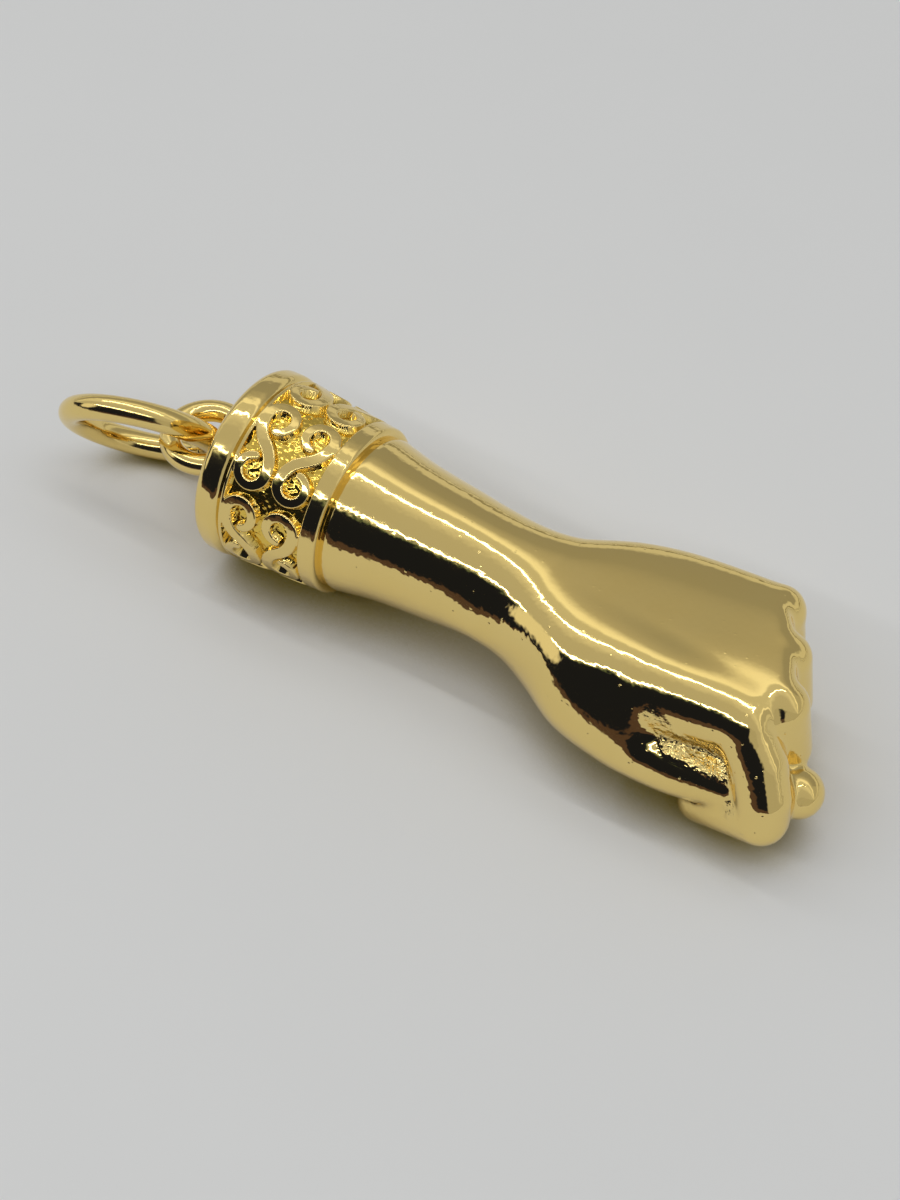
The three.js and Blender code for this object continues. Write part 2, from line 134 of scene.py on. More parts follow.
def edited(piece, work):
    """Runs some edit mode operators on a piece with everything deselected first."""
    only(piece)
    bpy.ops.object.mode_set(mode="EDIT")
    bpy.ops.mesh.select_all(action="DESELECT")
    work()
    bpy.ops.object.mode_set(mode="OBJECT")
    return piece


def cleaned(piece, distance=MERGE_DISTANCE):
    """Merges doubled points and turns the faces outwards."""
    def work():
        bpy.ops.mesh.select_all(action="SELECT")
        bpy.ops.mesh.remove_doubles(threshold=distance)
        bpy.ops.mesh.normals_make_consistent(inside=False)

    return edited(piece, work)


def places(piece):
    """The points of a mesh as an array."""
    flat = np.empty(3 * len(piece.data.vertices))
    piece.data.vertices.foreach_get("co", flat)
    return flat.reshape(-1, 3)


def moved(piece, points):
    """Gives a mesh new places for its points."""
    piece.data.vertices.foreach_set("co", np.ascontiguousarray(points, dtype=float).ravel())
    piece.data.update()
    return piece


def marked(piece, name, shares):
    """Writes a share from 0 to 1 at each point, for the finish to read."""
    mask = piece.data.attributes.new(name, "FLOAT", "POINT")
    mask.data.foreach_set("value", np.asarray(shares, dtype=np.float32))


def set_down(piece, node, body, material):
    """Puts a finished piece into the frame, in place of its solid."""
    piece.data.transform(INTO_FRAME)
    only(piece)
    bpy.ops.object.shade_smooth()
    piece.data.materials.clear()
    piece.data.materials.append(material)
    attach(piece, body)
    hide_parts(node)
    return piece


# The fist: a smooth blend of an arm, a palm and round bones. Places are from the wrist.

# The palm's section along the hand: station, shift to the little finger, then how much wider, higher
# and deeper it is than the arm, and the power of its outline, where 2 is round.
PALM = [
    (-5.0, 0.0, 0.0, 0.0, 0.0, 2.0),
    (-4.0, 0.0, 0.0, 0.0, 0.0, 2.0),
    (-1.0, 0.05, 0.1, 0.0, 0.05, 2.4),
    (2.5, 0.1, 1.43, 0.1, 0.5, 3.5),
    (6.0, 0.42, 1.42, 0.35, 0.9, 4.0),
    (9.5, 0.72, 1.20, 0.66, 1.15, 4.2),
    (13.0, 0.72, 1.20, 0.7, 1.18, 4.2),
]
PALM_SETBACK = 0.6  # of the palm's front behind the fingers' fronts
PALM_FRONT_ROUND = 0.9
# Each finger: its radius, then its joints from the knuckle over the folds to its middle bone's end.
FINGERS = [
    {
        "radius": 1.25,
        "joints": (
            (10.62, -2.62, 1.64),
            (11.78, -3.19, 0.35),
            (12.4, -3.7, -0.8),
            (12.5, -3.97, -1.8),
            (9.62, -3.45, -3.2),
        ),
    },
    {
        "radius": 1.22,
        "joints": ((11.5, -1.0, 1.85), (11.9, -1.0, -0.6), (11.5, -1.0, -3.4), (8.0, -0.9, -3.35)),
    },
    {
        "radius": 1.16,
        "joints": ((10.5, 1.25, 2.0), (10.85, 1.25, -0.6), (10.4, 1.25, -3.46), (6.9, 1.15, -3.4)),
    },
    {
        "radius": 1.05,
        "joints": ((9.15, 3.5, 1.85), (9.5, 3.5, -0.7), (9.15, 3.4, -3.2), (5.7, 3.2, -3.15)),
    },
]
MIDDLE_TAPER = 0.1
# Limbs that run along the hand: places of their joints and the radius at each.
INDEX_RIDGE = [
    ((-4.0, -0.3, 0.0), 1.6),
    ((3.0, -1.95, -0.1), 2.3),
    ((7.0, -2.5, 1.1), 1.65),
    ((10.5, -2.58, 1.72), 1.15),
]
WEB = [
    ((1.0, -1.8, -0.5), 1.3),
    ((4.6, -2.55, -0.3), 1.75),
    ((6.2, -2.6, 0.0), 1.95),
    ((7.3, -2.25, -0.2), 1.5),
    ((8.3, -2.0, -0.35), 1.25),
    ((11.5, -2.3, -0.4), 1.0),
]
LITTLE_RIDGE = [
    ((-3.0, 0.6, 0.2), 1.0),
    ((1.2, 2.2, 0.8), 1.0),
    ((3.2, 3.0, 1.1), 1.05),
    ((9.15, 3.5, 1.85), 1.05),
]
THUMB = [
    ((-8.0, 0.0, 0.0), 1.9),
    ((-2.5, -1.9, -0.2), 0.95),
    ((-0.4, -1.9, -0.2), 0.92),
    ((2.6, -2.85, -0.62), 1.8),
    ((5.2, -3.55, -0.92), 1.75),
    ((8.2, -3.72, -1.22), 1.5),
    ((11.0, -3.4, -1.4), 1.15),
]
THUMB_TIP_RADIUS = 1.15
THUMB_TIP = (13.3, -2.15, -1.62)
# Widths of the fillets between the forms, and the thumb's by its station along the hand.
EDGE_BLEND = 0.9
LITTLE_BLEND = 0.5
THUMB_BLENDS = ((-4.0, 0.8), (3.0, 1.3), (6.2, 1.2), (7.4, 0.5), (9.0, 0.35))
FINGER_BLEND = 0.26
TIP_BLEND = 0.18
# The rough hollow between thumb and index finger, as left by the casting, and small creases by it.
HOLLOW = [
    ((7.16, -4.15, 1.5), 0.3),
    ((7.87, -4.05, 0.75), 0.65),
    ((8.71, -3.95, 0.3), 0.55),
    ((9.7, -3.85, 0.1), 0.55),
    ((10.7, -3.9, 0.0), 0.45),
]
CREASES = ((9.54, -4.8, -2.05), (10.52, -4.35, -2.98), (11.4, -4.7, -1.3))
HOLLOW_REACH = (0.3, -0.1)  # from the hollow's skin, where its grain starts and where it is full
CREASE_REACH = (0.5, 0.15)
# The back of the hand is polished: how far up a face turns where that starts and ends, and its share.
BACK_FACING = (0.92, 0.985)
BACK_POLISH = 0.85
FLOW_STATIONS = 400
# The plain masses that are drawn onto the form.
MASS_SIDES = 64
MASS_BALL_LEVEL = 3
MASS_ARM_REACH = 3.0  # of the arm beyond the wrist
MASS_PALM_MIDDLE = (4.6, 0.3, -0.2)
MASS_PALM_SIZE = (9.0, 6.4, 5.6)
MASS_ROOT_X = 3.0  # where a finger's bone starts in the palm
MASS_ROOT_Z = 0.8
MASS_ROOT_SPREAD = 0.7
MASS_ROOT_RADIUS = 1.4
HAND_VOXEL = 0.11
HAND_DRAWS = 2
HAND_SMOOTHING = 10


def from_wrist(place):
    return np.array([WRIST_X + place[0], place[1], place[2]])


def smooth_step(low, high, value):
    share = np.clip((value - low) / (high - low), 0, 1)
    return share * share * (3 - 2 * share)


def bone(points, start, start_radius, end, end_radius):
    """Distance to a tapered round bone between two balls."""
    start = np.asarray(start, float)
    axis = np.asarray(end, float) - start
    length = np.linalg.norm(axis)
    away = points - start
    along = away @ (axis / length)
    across = np.sqrt(np.maximum((away * away).sum(1) - along * along, 0))
    lean = (start_radius - end_radius) / length
    level = math.sqrt(1 - lean * lean)
    share = along * level - across * lean
    near = np.hypot(across, along) - start_radius
    far = np.hypot(across, along - length) - end_radius
    side = across * level + along * lean - start_radius
    return np.where(share < 0, near, np.where(share > length * level, far, side))


def melted(a, b, width):
    """Joins two forms with a fillet."""
    share = np.maximum(width - np.abs(a - b), 0) / width
    return np.minimum(a, b) - share * share * width / 4


def carved(a, b, width):
    """What two forms have in common, with a rounded edge."""
    return -melted(-a, -b, width)


def flow(table, along):
    """Values that run smoothly through a table's stations, held beyond its ends."""
    table = np.asarray(table, float)
    stations = np.linspace(table[0, 0], table[-1, 0], FLOW_STATIONS)
    slopes = np.gradient(table[:, 1:], table[:, 0], axis=0)
    span = np.clip(np.searchsorted(table[:, 0], stations, side="right") - 1, 0, len(table) - 2)
    length = (table[span + 1, 0] - table[span, 0])[:, None]
    share = (stations - table[span, 0])[:, None] / length
    rest = 1 - share
    path = table[span, 1:] * (1 + 2 * share) * rest ** 2 + slopes[span] * length * share * rest ** 2
    path += table[span + 1, 1:] * share ** 2 * (3 - 2 * share) - slopes[span + 1] * length * share ** 2 * rest
    return [np.interp(along, stations, column) for column in path.T]


def limb(points, joints):
    """Distance to a round limb that runs along the arm, through joints given from the wrist."""
    table = [(*place, radius) for place, radius in joints]
    along = points[:, 0] - WRIST_X
    y, z, radius = flow(table, along)
    beyond = along - np.clip(along, table[0][0], table[-1][0])
    return np.sqrt(beyond ** 2 + (points[:, 1] - y) ** 2 + (points[:, 2] - z) ** 2) - radius


def arm_radius(x):
    taper, = flow(ARM_TAPER, x - ARM_START)
    return taper - NECK_DEPTH * smooth_step(NECK_START + NECK_LENGTH, NECK_START, x)


def arm_and_palm(points):
    """The forearm, the wrist and the back of the hand, as one skin."""
    x, y, z = points.T
    radius = arm_radius(x)
    shift, wider, higher, deeper, power = flow(PALM, x - WRIST_X)
    across = np.abs(y - shift) / (radius + wider)
    up = np.abs(z) / (radius + np.where(z > 0, higher, deeper))
    side = ((across ** power + up ** power) ** (1 / power) - 1) * radius
    lanes = [finger["joints"][0][1] for finger in FINGERS]
    fronts = [WRIST_X + finger["joints"][0][0] + finger["radius"] - PALM_SETBACK for finger in FINGERS]
    whole = carved(side, x - np.interp(y, lanes, fronts), PALM_FRONT_ROUND)
    whole = carved(whole, SHOULDER_START - x, SHOULDER_ROUND)
    tenon_ends = np.maximum(TENON_START - x, x - ARM_START - TENON_OVERLAP)
    tenon = np.maximum(np.hypot(y, z) - TENON_RADIUS, tenon_ends)
    return np.minimum(whole, tenon)


def finger_form(points, finger):
    """A folded finger from its knuckle to the end of its middle bone."""
    radius = finger["radius"]
    joints = [from_wrist(place) for place in finger["joints"]]
    spans = [bone(points, joints[i], radius, joints[i + 1], radius) for i in range(len(joints) - 2)]
    return np.minimum.reduce(spans + [bone(points, joints[-2], radius, joints[-1], radius - MIDDLE_TAPER)])


def fist(points):
    """Distance to the whole casting."""
    body = arm_and_palm(points)
    body = melted(body, limb(points, INDEX_RIDGE), EDGE_BLEND)
    body = melted(body, limb(points, LITTLE_RIDGE), LITTLE_BLEND)
    body = melted(body, limb(points, WEB), EDGE_BLEND)
    stations, widths = zip(*THUMB_BLENDS)
    spread = np.interp(points[:, 0] - WRIST_X, stations, widths)
    body = melted(body, limb(points, THUMB), spread)
    for finger in FINGERS:
        body = melted(body, finger_form(points, finger), FINGER_BLEND)
    last, last_radius = THUMB[-1]
    tip = bone(points, from_wrist(last), last_radius, from_wrist(THUMB_TIP), THUMB_TIP_RADIUS)
    return np.maximum(melted(body, tip, TIP_BLEND), FLOOR_Z - points[:, 2])


def drawn_onto(points, form, rounds=4, reach=0.5, step=0.001, least_slope=0.05):
    """Moves points along the slope of a form until they lie on its skin."""
    for _ in range(rounds):
        level = form(points)
        slope = np.stack([(form(points + step * side) - level) / step for side in np.eye(3)], axis=1)
        steep = np.maximum((slope * slope).sum(1), least_slope)
        move = np.clip(level / steep, -reach, reach)
        points = points - slope * move[:, None]
    return points


def rounded_bone(start, start_radius, end, end_radius):
    """A tapered bone: two balls and the skin stretched over them."""
    balls = []
    for place, radius in ((start, start_radius), (end, end_radius)):
        bpy.ops.mesh.primitive_ico_sphere_add(subdivisions=MASS_BALL_LEVEL, radius=radius, location=place)
        balls.append(settled(added("ball")))
    only(*balls)
    bpy.ops.object.join()

    def work():
        bpy.ops.mesh.select_all(action="SELECT")
        bpy.ops.mesh.convex_hull()

    return edited(balls[0], work)


def blocked_hand():
    """The hand's masses as plain solids: arm, tenon, palm and bones, joined."""
    masses = []
    for start, end, first, last in (
        (TENON_START, ARM_START + TENON_OVERLAP, TENON_RADIUS, TENON_RADIUS),
        (ARM_START, WRIST_X + MASS_ARM_REACH, ARM_RADIUS, WRIST_RADIUS),
    ):
        bpy.ops.mesh.primitive_cone_add(
            vertices=MASS_SIDES, radius1=first, radius2=last, depth=end - start,
            location=((start + end) / 2, 0, 0), rotation=ALONG_X,
        )
        masses.append(settled(added("arm_mass")))
    bpy.ops.mesh.primitive_cube_add(size=1, location=from_wrist(MASS_PALM_MIDDLE), scale=MASS_PALM_SIZE)
    masses.append(settled(added("palm_mass")))
    limbs = [INDEX_RIDGE, LITTLE_RIDGE, WEB, THUMB]
    for finger in FINGERS:
        joints = [(place, finger["radius"]) for place in finger["joints"]]
        root = (MASS_ROOT_X, finger["joints"][0][1] * MASS_ROOT_SPREAD, MASS_ROOT_Z)
        limbs += [joints, [(root, MASS_ROOT_RADIUS), joints[0]]]
    limbs.append([THUMB[-1], (THUMB_TIP, THUMB_TIP_RADIUS)])
    for joints in limbs:
        for (start, start_radius), (end, end_radius) in zip(joints, joints[1:]):
            masses.append(rounded_bone(from_wrist(start), start_radius, from_wrist(end), end_radius))
    only(*masses)
    bpy.ops.object.join()
    return added("figa_hand")


def make_hand(material):
    hand = blocked_hand()
    for _ in range(HAND_DRAWS):
        modified(hand, "REMESH", mode="VOXEL", voxel_size=HAND_VOXEL)
        moved(hand, drawn_onto(places(hand), fist))
    modified(hand, "SMOOTH", factor=0.5, iterations=HAND_SMOOTHING)
    points = places(hand)
    rough = smooth_step(*HOLLOW_REACH, limb(points, HOLLOW))
    for place in CREASES:
        away = np.linalg.norm(points - from_wrist(place), axis=1)
        rough = np.maximum(rough, smooth_step(*CREASE_REACH, away))
    marked(hand, "recess", rough)
    facing = np.empty(3 * len(points))
    hand.data.vertices.foreach_get("normal", facing)
    back = smooth_step(*BACK_FACING, facing[2::3])
    marked(hand, "cast", 1 - BACK_POLISH * back)
    return set_down(hand, "hand", "pendant", material)


# The cuff: a sleeve whose sunk field carries raised scrolls on a hammered ground.

CUFF_START = SEAT_GAP
CUFF_END = CUFF_START + CUFF_LENGTH
FIELD_START = CUFF_START + CAP_LIP_WIDTH
FIELD_END = CUFF_END - LOWER_RIM_WIDTH
CUFF_EDGE_ROUND = 0.2
SCROLL_WIDTH = 0.62
SCROLL_END_WIDTH = 0.42
SCROLL_EDGE = 0.08  # width of the rounding along a scroll's edges
SCROLL_EDGE_DROP = 0.06
SCROLL_ROWS = (1.08, 3.14)  # middles of the two rows, from the cap's seat
CURL_OFFSET = 1.36  # from the middle of an S to the middle of its curl
CURL_HALF_WIDTH = 0.76
CURL_HALF_HEIGHT = 0.70
CURL_START = 100
CURL_SWEEP = 268
CURL_SHRINK = 0.1
STEM_SLOPE = 52
STEM_PULLS = (0.5, 0.6)
CURL_POINTS = 90
STEM_POINTS = 30
GRAIN_HEIGHT = 0.034
GRAIN_SIZE = 0.22
ROUND_COUNT = 720
ALONG_COUNT = 126
ROW_COUNT = ALONG_COUNT + 2  # the last two rows of cells lie in the bore
CELL = CUFF_LENGTH / ALONG_COUNT
CUFF_MERGE = 0.0002


def envelope(along):
    share = (along - CUFF_START) / CUFF_LENGTH
    return CUFF_CAP_RADIUS + (CUFF_ARM_RADIUS - CUFF_CAP_RADIUS) * share


def half_scroll():
    """Middle line of half an S, from its middle to the end of its curl, round the cuff and along it."""
    share = np.linspace(0, 1, CURL_POINTS)
    angle = np.radians(CURL_START - CURL_SWEEP * share)
    size = 1 - CURL_SHRINK * share
    around = CURL_OFFSET + CURL_HALF_WIDTH * size * np.cos(angle)
    along = CURL_HALF_HEIGHT * size * np.sin(angle)
    curl = np.stack([around, along], 1)
    heading = (curl[1] - curl[0]) / np.linalg.norm(curl[1] - curl[0])
    slope = math.radians(STEM_SLOPE)
    leave = STEM_PULLS[0] * np.array([math.cos(slope), math.sin(slope)])
    arrive = curl[0] - STEM_PULLS[1] * heading
    t = np.linspace(0, 1, STEM_POINTS, endpoint=False)[:, None]
    stem = 3 * (1 - t) ** 2 * t * leave + 3 * (1 - t) * t ** 2 * arrive + t ** 3 * curl[0]
    return np.vstack([stem, curl])


def scroll_lines():
    """Points on the middle lines of all the scrolls, with the half width of the ribbon at each."""
    turn = 2 * math.pi / SCROLL_CURLS
    half = half_scroll()
    taper = np.linspace(0, 1, len(half))
    half_width = (SCROLL_WIDTH + (SCROLL_END_WIDTH - SCROLL_WIDTH) * taper) / 2
    whole = np.vstack([-half[::-1], half])
    whole_width = np.concatenate([half_width[::-1], half_width])
    pairs = SCROLL_CURLS // 2
    lines = []
    for row, middle in enumerate(SCROLL_ROWS):
        flip = np.array([1, -1 if row else 1])
        first = math.radians(SCROLL_FIRST_ANGLE)
        sets = [(whole, whole_width, first + 2 * (i - pairs // 2) * turn) for i in range(pairs)]
        sets.append((half, half_width, first + (2 * math.ceil(pairs / 2) - 0.5) * turn))
        for line, width, angle in sets:
            spot = line * flip + (angle * CUFF_CAP_RADIUS, middle)
            lines.append(np.column_stack([spot, width]))
    return np.vstack(lines)


def raised_edge(spots):
    """How far each spot round and along the cuff lies outside the nearest raised form, and which way."""
    lines = scroll_lines()
    girth = 2 * math.pi * CUFF_CAP_RADIUS
    lines = np.vstack([lines + (shift * girth, 0, 0) for shift in (-1, 0, 1)])
    tree = kdtree.KDTree(len(lines))
    for i, (around, along, _) in enumerate(lines):
        tree.insert((around, along, 0), i)
    tree.balance()
    nearest = lines[[tree.find((*spot, 0))[1] for spot in spots]]
    away = spots - nearest[:, :2]
    distance = np.linalg.norm(away, axis=1)
    outside = distance - nearest[:, 2]
    way = away / np.maximum(distance, 1e-6)[:, None]
    for edge, side in ((FIELD_START, 1), (FIELD_END, -1)):
        beyond = side * (spots[:, 1] - edge)
        nearer = beyond < outside
        outside = np.where(nearer, beyond, outside)
        way = np.where(nearer[:, None], (0, side), way)
    return outside, way


def field_height(spots, outside):
    """Height of the raised forms and of the ground, below the cuff's envelope."""
    turned = np.clip(1 + outside / SCROLL_EDGE, 0, 1)
    top = -SCROLL_EDGE_DROP * (1 - np.sqrt(1 - turned ** 2))
    grain = np.array([noise.noise((*(spot / GRAIN_SIZE), 0)) for spot in spots])
    return np.where(outside > 0, GRAIN_HEIGHT * grain - FIELD_DEPTH, top)


def make_cuff(material):
    bpy.ops.mesh.primitive_grid_add(x_subdivisions=ROUND_COUNT, y_subdivisions=ROW_COUNT, size=1)
    cuff = added("figa_cuff")
    cells = places(cuff)
    column = np.rint((cells[:, 0] + 0.5) * ROUND_COUNT)
    row = np.rint((cells[:, 1] + 0.5) * ROW_COUNT).astype(int)
    # Rows run along the outside from end to end, then back through the bore.
    along = np.clip(CUFF_START + CELL * row, CUFF_START, CUFF_END)
    along = np.where(row == ROW_COUNT, CUFF_START, along)
    skin = row <= ALONG_COUNT
    spots = np.stack([2 * math.pi * CUFF_CAP_RADIUS * column / ROUND_COUNT, along], 1)
    outside, way = raised_edge(spots)
    # Points beside the edge of a raised form move onto it, so that its outline is clean.
    beside = skin & (np.abs(outside) < CELL / 2) & (along > CUFF_START) & (along < CUFF_END)
    spots = np.where(beside[:, None], spots - way * outside[:, None], spots)
    outside = np.where(beside, 0, outside)
    angle, along = spots[:, 0] / CUFF_CAP_RADIUS, spots[:, 1]
    to_edge = np.minimum(along - CUFF_START + CUFF_EDGE_ROUND / 2, CUFF_END - along)
    inset = np.maximum(CUFF_EDGE_ROUND - to_edge, 0)
    rounding = CUFF_EDGE_ROUND - np.sqrt(np.maximum(CUFF_EDGE_ROUND ** 2 - inset ** 2, 0))
    radius = np.where(skin, envelope(along) + field_height(spots, outside) - rounding, CUFF_BORE_RADIUS)
    moved(cuff, np.stack([along, radius * np.cos(angle), radius * np.sin(angle)], 1))
    # The recess share makes the sunk ground rough and grained, and also paints it a darker gold as shade.
    marked(cuff, "recess", np.where(skin, outside > 0, 1))
    cleaned(cuff, CUFF_MERGE)

    def close():
        bpy.ops.mesh.select_mode(type="EDGE")
        bpy.ops.mesh.select_non_manifold()
        bpy.ops.mesh.bridge_edge_loops()
        bpy.ops.mesh.select_all(action="SELECT")
        bpy.ops.mesh.normals_make_consistent(inside=False)

    edited(cuff, close)
    return set_down(cuff, "cuff", "pendant", material)


# The end cap, the bail and the jump ring.

CAP_SIDES = 160
CAP_EDGE_STEPS = 10
SPIGOT_RADIUS = 3.02
SPIGOT_LENGTH = 0.9
END_FACING = 0.9  # least part of a normal along the arm on a face that closes an end
PANEL_SIDES = 8  # a face with more sides is a whole disc
BAIL_STEPS = 120
RING_STEPS = 220
WIRE_SIDES = 40
PEG_SIDES = 40


def select_faces(piece, chosen):
    """Selects the faces that pass a test, from edit mode."""
    bpy.ops.object.mode_set(mode="OBJECT")
    for face in piece.data.polygons:
        face.select = chosen(face)
    bpy.ops.object.mode_set(mode="EDIT")


def is_disc(face, side):
    """Whether a face is a whole disc that closes the end on this side."""
    return face.normal.x * side > END_FACING and len(face.vertices) > PANEL_SIDES


def make_end_cap(material):
    bpy.ops.mesh.primitive_cylinder_add(
        vertices=CAP_SIDES, radius=CAP_RADIUS, depth=CAP_THICKNESS,
        location=(-CAP_THICKNESS / 2, 0, 0), rotation=ALONG_X,
    )
    cap = settled(added("figa_end_cap"))

    def work():
        bpy.ops.mesh.select_mode(type="FACE")
        select_faces(cap, lambda face: abs(face.normal.x) > END_FACING)
        bpy.ops.mesh.region_to_loop()
        bpy.ops.mesh.bevel(offset=CAP_EDGE_ROUND, segments=CAP_EDGE_STEPS, profile=0.5, affect="EDGES")
        bpy.ops.mesh.select_mode(type="FACE")
        select_faces(cap, lambda face: is_disc(face, 1))
        bpy.ops.mesh.inset(thickness=CAP_RADIUS - CAP_EDGE_ROUND - SPIGOT_RADIUS)
        bpy.ops.mesh.extrude_region_move(TRANSFORM_OT_translate={"value": (SPIGOT_LENGTH, 0, 0)})
        bpy.ops.mesh.inset(thickness=SPIGOT_RADIUS - PEG_HOLE_RADIUS)
        select_faces(cap, lambda face: is_disc(face, -1))
        bpy.ops.mesh.inset(thickness=CAP_RADIUS - CAP_EDGE_ROUND - PEG_HOLE_RADIUS)
        select_faces(cap, lambda face: is_disc(face, 1) or is_disc(face, -1))
        bpy.ops.mesh.delete(type="FACE")
        select_faces(cap, lambda face: False)
        bpy.ops.mesh.select_mode(type="EDGE")
        bpy.ops.mesh.select_non_manifold()
        bpy.ops.mesh.bridge_edge_loops()

    edited(cap, work)
    cleaned(cap)
    return set_down(cap, "end_cap", "pendant", material)


bail_low, bail_high = (INTO_FRAME.inverted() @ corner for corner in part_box("bail"))
BAIL_OUTER = (bail_high.y - bail_low.y) / 2
BAIL_RADIUS = BAIL_OUTER - BAIL_WIRE / 2
BAIL_X = bail_low.x + BAIL_OUTER


def make_bail(material):
    bpy.ops.mesh.primitive_torus_add(
        major_radius=BAIL_RADIUS, minor_radius=BAIL_WIRE / 2,
        major_segments=BAIL_STEPS, minor_segments=WIRE_SIDES, location=(BAIL_X, 0, 0),
    )
    bail = settled(added("figa_bail"))
    root = BAIL_X + BAIL_RADIUS
    for start, end, radius in (
        (root, SEAT_GAP + PEG_HEAD_THICKNESS / 2, PEG_RADIUS),
        (SEAT_GAP, SEAT_GAP + PEG_HEAD_THICKNESS, PEG_HEAD_RADIUS),
    ):
        bpy.ops.mesh.primitive_cylinder_add(
            vertices=PEG_SIDES, radius=radius, depth=end - start,
            location=((start + end) / 2, 0, 0), rotation=ALONG_X,
        )
        peg = settled(added("peg"))
        modified(bail, "BOOLEAN", operation="UNION", solver="EXACT", object=peg)
        bpy.data.objects.remove(peg)
    return set_down(cleaned(bail), "bail", "pendant", material)


RING_RADIUS = (RING_OUTER - RING_WIRE) / 2
RING_YAW = math.radians(23)
RING_RISE = math.radians(7.6)
RING_LEAN = math.radians(-30)
RING_SEAT = 0.05  # where its wire crosses the bail, from the bail's middle towards its outer end
RING_SPLIT_ANGLE = math.radians(205)  # of the butt joint, whose slit is one step of the ring


def ring_place():
    """Turn and middle of the jump ring: it leans in the bail with its low edge on the table."""
    level = Matrix.Rotation(RING_YAW, 3, "Z") @ Matrix.Rotation(RING_RISE, 3, "Y")
    out = level @ Vector((-1, 0, 0))
    up = Matrix.Rotation(RING_LEAN, 3, out) @ (level @ Vector((0, 0, 1)))
    across = out.cross(up)
    reach = RING_RADIUS * math.sqrt(1 - across.z ** 2) + RING_WIRE / 2
    drop = FLOOR_Z + reach + SEAT_GAP
    slip = math.asin(-drop / (RING_RADIUS * math.hypot(out.z, up.z))) + math.atan2(out.z, up.z)
    middle = Vector((BAIL_X - RING_SEAT, 0, 0))
    middle += out * RING_RADIUS * math.cos(slip) - up * RING_RADIUS * math.sin(slip)
    turn = Matrix((out, up, across)).transposed().to_4x4()
    return Matrix.Translation(middle) @ turn


def make_jump_ring(material):
    bpy.ops.mesh.primitive_torus_add(
        major_radius=RING_RADIUS, minor_radius=RING_WIRE / 2,
        major_segments=RING_STEPS, minor_segments=WIRE_SIDES,
    )
    ring = added("figa_jump_ring")
    half_step = math.pi / RING_STEPS

    def on_split(face):
        angle = math.atan2(face.center.y, face.center.x) - RING_SPLIT_ANGLE
        return abs((angle + math.pi) % (2 * math.pi) - math.pi) < half_step

    def work():
        bpy.ops.mesh.select_mode(type="FACE")
        select_faces(ring, on_split)
        bpy.ops.mesh.delete(type="FACE")
        bpy.ops.mesh.select_mode(type="EDGE")
        bpy.ops.mesh.select_non_manifold()
        bpy.ops.mesh.fill_holes(sides=0)

    edited(ring, work)
    ring.data.transform(ring_place())
    return set_down(cleaned(ring), "jump_ring", "ring", material)


# Finishes.

GOLD = (0.91, 0.70, 0.27)
WARM_GOLD = (0.88, 0.66, 0.23)
# Painted shade: the cuff's sunk ground and bore take this deeper, darker gold in place of the shade and
# interreflection in its hollows.
RECESS_SHADE_GOLD = (0.86, 0.60, 0.11)
CLOUD_RANGE = (0.3, 0.75)  # of the clouds' noise, from smooth to dull plate
SPECK_DOME = (0.16, 0.03)  # from a cell's middle, where a speck starts and where it is full
SPECK_CHOICE = 0.55  # cells whose random value lies above this have a speck
PLATE_INPUTS = (
    "Cloud Scale", "Ripple Scale", "Ripple", "Cast", "Speck Scale", "Specks", "Grain Scale", "Grain",
    "Recess", "Smooth", "Dull", "Recess Dull",
)


def node(tree, kind, place=(0, 0), **settings):
    """A shader node with its settings and its input values."""
    made = tree.nodes.new(kind)
    made.location = place
    for key, value in settings.pop("inputs", {}).items():
        made.inputs[key].default_value = value
    for key, value in settings.items():
        setattr(made, key, value)
    return made


